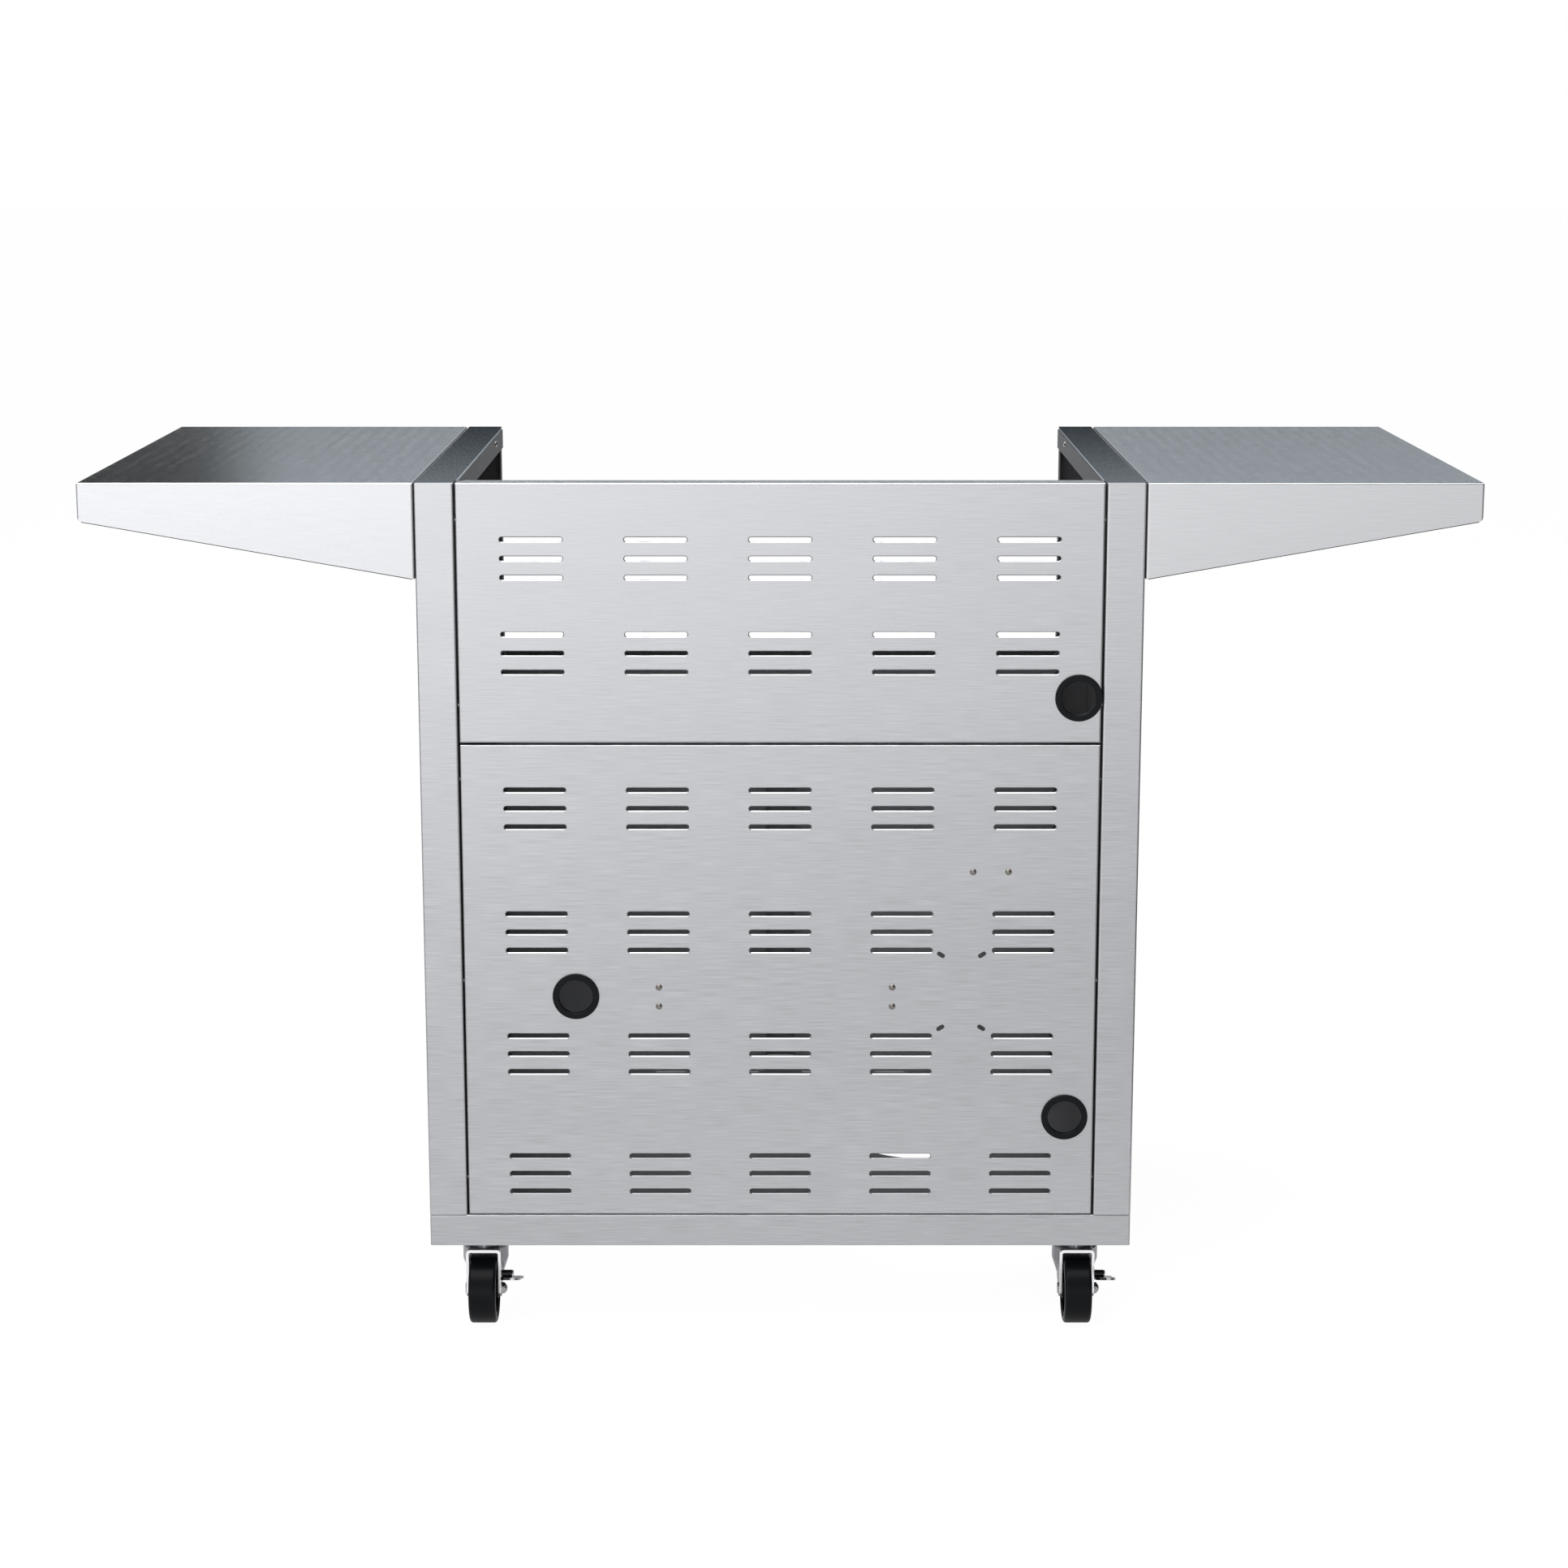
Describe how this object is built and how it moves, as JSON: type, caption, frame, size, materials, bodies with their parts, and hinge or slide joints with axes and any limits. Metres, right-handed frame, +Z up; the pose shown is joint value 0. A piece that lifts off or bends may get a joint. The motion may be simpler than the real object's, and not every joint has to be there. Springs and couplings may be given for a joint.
{
  "type": "stainless steel grill cart",
  "caption": "Two-door stainless steel cabinet on braked swivel casters, with an open bay for a drop-in grill between two tapered side shelves and vented back panels with hose ports.",
  "frame": {"origin": "on the floor, under the middle of the whole footprint with the casters and handles", "axes": "+Z is up, the doors face -Y, the slotted back panels face +Y, and +X is the right-hand side of a person who stands at the doors"},
  "size_m": [1.4636, 0.681, 0.931],
  "materials": {
    "side_steel": "brushed along X, satin",
    "back_steel": "brushed along X, satin",
    "shelf_steel": "brushed along X, satin",
    "door_steel": "brushed along X, satin",
    "handle_steel": "brushed along the bar",
    "zinc_plate": "plain zinc plate",
    "fastener_steel": "bright plated",
    "caster_zinc": "bright plated",
    "axle_zinc": "bright plated",
    "pedal_zinc": "plain plated",
    "wheel_plastic": "moulded, matte",
    "wheel_tread": "smooth, slightly shiny",
    "grommet_rubber": "moulded, slightly shiny",
    "bumper_rubber": "moulded, matte",
    "magnet_case": "moulded, matte"
  },
  "bodies": {
    "cabinet": {"left_side_panel": "side_steel", "right_side_panel": "side_steel", "upper_back_panel": "back_steel", "lower_back_panel": "back_steel", "base_pan": "side_steel", "caster_mounts": "zinc_plate", "front_rail": "side_steel", "centre_post": "side_steel", "left_shelf": "shelf_steel", "right_shelf": "shelf_steel", "shelf_bolts": "fastener_steel", "upper_grommet": "grommet_rubber", "middle_grommet": "grommet_rubber", "lower_grommet": "grommet_rubber", "guard_bar": "zinc_plate", "hose_hook": "zinc_plate", "back_screws": "fastener_steel", "rail_screws": "fastener_steel", "panel_screws": "fastener_steel", "frame_screws": "fastener_steel", "door_brackets": "zinc_plate", "bracket_screws": "fastener_steel", "door_magnets": "magnet_case", "door_bumpers": "bumper_rubber", "caster_bolts": "fastener_steel", "rear_left_caster_plate": "caster_zinc", "rear_right_caster_plate": "caster_zinc", "front_left_caster_plate": "caster_zinc", "front_right_caster_plate": "caster_zinc"},
    "left_door": {"left_door_skin": "door_steel", "left_door_liner": "back_steel", "left_door_handle": "handle_steel", "left_door_pins": "fastener_steel"},
    "right_door": {"right_door_skin": "door_steel", "right_door_liner": "back_steel", "right_door_handle": "handle_steel", "right_door_pins": "fastener_steel"},
    "rear_left_caster": {"rear_left_fork": "caster_zinc", "rear_left_axle": "axle_zinc"},
    "rear_left_wheel": {"rear_left_wheel_core": "wheel_plastic", "rear_left_tread": "wheel_tread"},
    "rear_left_brake": {"rear_left_brake_pedal": "pedal_zinc"},
    "rear_right_caster": {"rear_right_fork": "caster_zinc", "rear_right_axle": "axle_zinc"},
    "rear_right_wheel": {"rear_right_wheel_core": "wheel_plastic", "rear_right_tread": "wheel_tread"},
    "rear_right_brake": {"rear_right_brake_pedal": "pedal_zinc"},
    "front_left_caster": {"front_left_fork": "caster_zinc", "front_left_axle": "axle_zinc"},
    "front_left_wheel": {"front_left_wheel_core": "wheel_plastic", "front_left_tread": "wheel_tread"},
    "front_left_brake": {"front_left_brake_pedal": "pedal_zinc"},
    "front_right_caster": {"front_right_fork": "caster_zinc", "front_right_axle": "axle_zinc"},
    "front_right_wheel": {"front_right_wheel_core": "wheel_plastic", "front_right_tread": "wheel_tread"},
    "front_right_brake": {"front_right_brake_pedal": "pedal_zinc"}
  },
  "joints": [
    {"name": "left_door_hinge", "type": "hinge", "parent": "cabinet", "child": "left_door", "pos_m": [-0.372, -0.2885, 0.397], "axis": [0, 0, -1], "range_deg": [0, 110]},
    {"name": "right_door_hinge", "type": "hinge", "parent": "cabinet", "child": "right_door", "pos_m": [0.372, -0.2885, 0.397], "axis": [0, 0, 1], "range_deg": [0, 110]},
    {"name": "rear_left_swivel", "type": "hinge", "parent": "cabinet", "child": "rear_left_caster", "pos_m": [-0.326, 0.2775, 0.09], "axis": [0, 0, 1], "continuous": true},
    {"name": "rear_left_roll", "type": "hinge", "parent": "rear_left_caster", "child": "rear_left_wheel", "pos_m": [-0.326, 0.3025, 0.038], "axis": [1, 0, 0], "continuous": true},
    {"name": "rear_left_brake", "type": "hinge", "parent": "rear_left_caster", "child": "rear_left_brake", "pos_m": [-0.3512, 0.2985, 0.052], "axis": [1, 0, 0], "range_deg": [-36, 0]},
    {"name": "rear_right_swivel", "type": "hinge", "parent": "cabinet", "child": "rear_right_caster", "pos_m": [0.326, 0.2775, 0.09], "axis": [0, 0, 1], "continuous": true},
    {"name": "rear_right_roll", "type": "hinge", "parent": "rear_right_caster", "child": "rear_right_wheel", "pos_m": [0.326, 0.3025, 0.038], "axis": [1, 0, 0], "continuous": true},
    {"name": "rear_right_brake", "type": "hinge", "parent": "rear_right_caster", "child": "rear_right_brake", "pos_m": [0.3008, 0.2985, 0.052], "axis": [1, 0, 0], "range_deg": [-36, 0]},
    {"name": "front_left_swivel", "type": "hinge", "parent": "cabinet", "child": "front_left_caster", "pos_m": [-0.326, -0.2195, 0.09], "axis": [0, 0, 1], "continuous": true},
    {"name": "front_left_roll", "type": "hinge", "parent": "front_left_caster", "child": "front_left_wheel", "pos_m": [-0.326, -0.1945, 0.038], "axis": [1, 0, 0], "continuous": true},
    {"name": "front_left_brake", "type": "hinge", "parent": "front_left_caster", "child": "front_left_brake", "pos_m": [-0.3512, -0.1985, 0.052], "axis": [1, 0, 0], "range_deg": [-36, 0]},
    {"name": "front_right_swivel", "type": "hinge", "parent": "cabinet", "child": "front_right_caster", "pos_m": [0.326, -0.2195, 0.09], "axis": [0, 0, 1], "continuous": true},
    {"name": "front_right_roll", "type": "hinge", "parent": "front_right_caster", "child": "front_right_wheel", "pos_m": [0.326, -0.1945, 0.038], "axis": [1, 0, 0], "continuous": true},
    {"name": "front_right_brake", "type": "hinge", "parent": "front_right_caster", "child": "front_right_brake", "pos_m": [0.3008, -0.1985, 0.052], "axis": [1, 0, 0], "range_deg": [-36, 0]}
  ]
}
